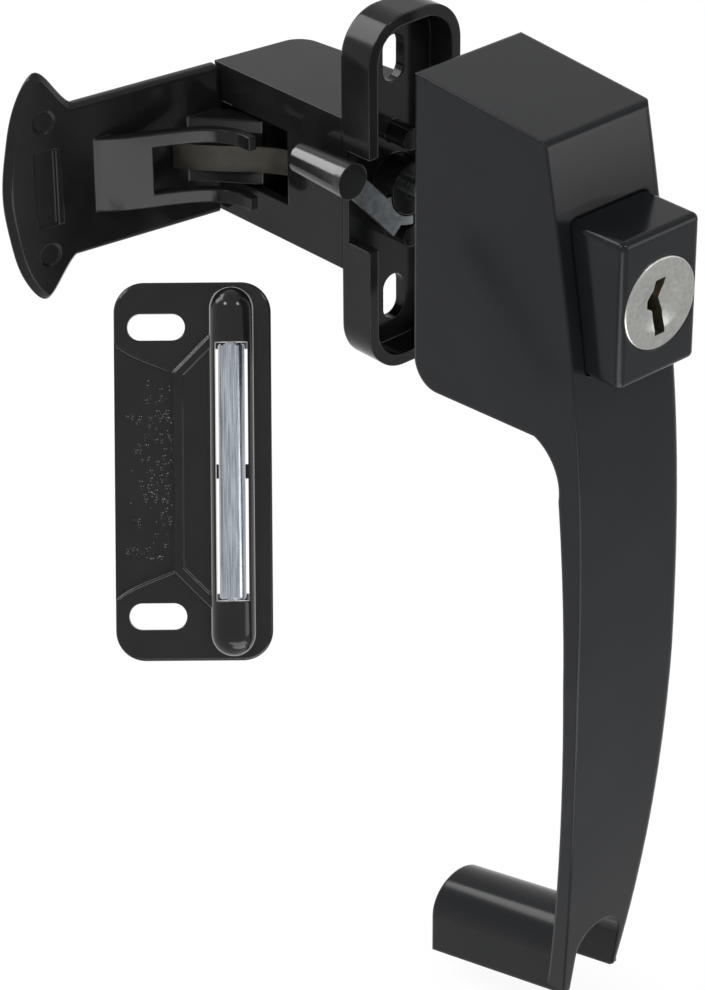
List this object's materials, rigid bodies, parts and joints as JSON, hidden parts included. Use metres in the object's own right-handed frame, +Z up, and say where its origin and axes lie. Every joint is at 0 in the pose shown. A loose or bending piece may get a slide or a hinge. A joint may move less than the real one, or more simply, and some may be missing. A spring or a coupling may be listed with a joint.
{
  "type": "storm door push button latch",
  "caption": "Black storm door latch: curved outside pull handle with a keyed push button, inside lever latch with a night lock knob, and a roller strike plate.",
  "frame": {"origin": "where the push button's axis meets the handle's back plane, midway between the screw posts", "axes": "+X right seen from outside, +Y inward through the door, +Z up"},
  "size_m": [0.0824, 0.1026, 0.1819],
  "materials": {
    "handle_paint": "satin",
    "button_paint": "satin",
    "plug_metal": "satin",
    "brass": "satin",
    "spring_steel": "satin",
    "plated_steel": "gloss",
    "latch_paint": "gloss",
    "bolt_metal": "satin",
    "leaf_steel": "satin",
    "knob_plastic": "gloss",
    "strike_paint": "gloss",
    "roller_steel": "satin"
  },
  "bodies": {
    "frame": {"handle_casting": "handle_paint", "spring_plate": "plated_steel", "button_spring": "spring_steel", "latch_case": "latch_paint", "lever_pin": "plated_steel", "lever_spring": "leaf_steel", "strike_plate": "strike_paint", "roller_pin": "plated_steel"},
    "button": {"push_button": "button_paint", "rod_bridge": "plated_steel", "push_rod": "plated_steel"},
    "plug": {"lock_plug": "plug_metal", "lock_wafers": "brass", "plug_clip": "spring_steel", "lock_cam": "plated_steel"},
    "lever": {"latch_lever": "latch_paint"},
    "bolt": {"latch_bolt": "bolt_metal"},
    "night_lock": {"lock_slide": "plated_steel", "lock_knob": "knob_plastic"},
    "roller": {"strike_roller": "roller_steel"}
  },
  "joints": [
    {"name": "button_press", "type": "slide", "parent": "frame", "child": "button", "axis": [0, 1, 0], "range_m": [0, 0.003], "stiffness_N_per_m": 1500, "springref_m": -0.002, "deforming": ["button_spring"]},
    {"name": "key_turn", "type": "hinge", "parent": "button", "child": "plug", "pos_m": [0, -0.03, 0], "axis": [0, 1, 0], "range_deg": [0, 90]},
    {"name": "lever_swing", "type": "hinge", "parent": "frame", "child": "lever", "pos_m": [-0.007, 0.0435, 0], "axis": [0, 0, 1], "range_deg": [0, 18], "deforming": ["lever_spring"]},
    {"name": "bolt_draw", "type": "slide", "parent": "frame", "child": "bolt", "axis": [-1, 0, 0], "range_m": [0, 0.003]},
    {"name": "night_lock", "type": "slide", "parent": "frame", "child": "night_lock", "axis": [0, 1, 0], "range_m": [0, 0.0035]},
    {"name": "roller_spin", "type": "hinge", "parent": "frame", "child": "roller", "pos_m": [-0.04514, 0.00859, -0.03545], "axis": [0.3346, 0.3716, 0.866], "continuous": true}
  ],
  "couplings": [
    {"joint": "lever_swing", "follows": "button_press", "rad_per_m": 104.72},
    {"joint": "bolt_draw", "follows": "button_press", "ratio": 1}
  ]
}
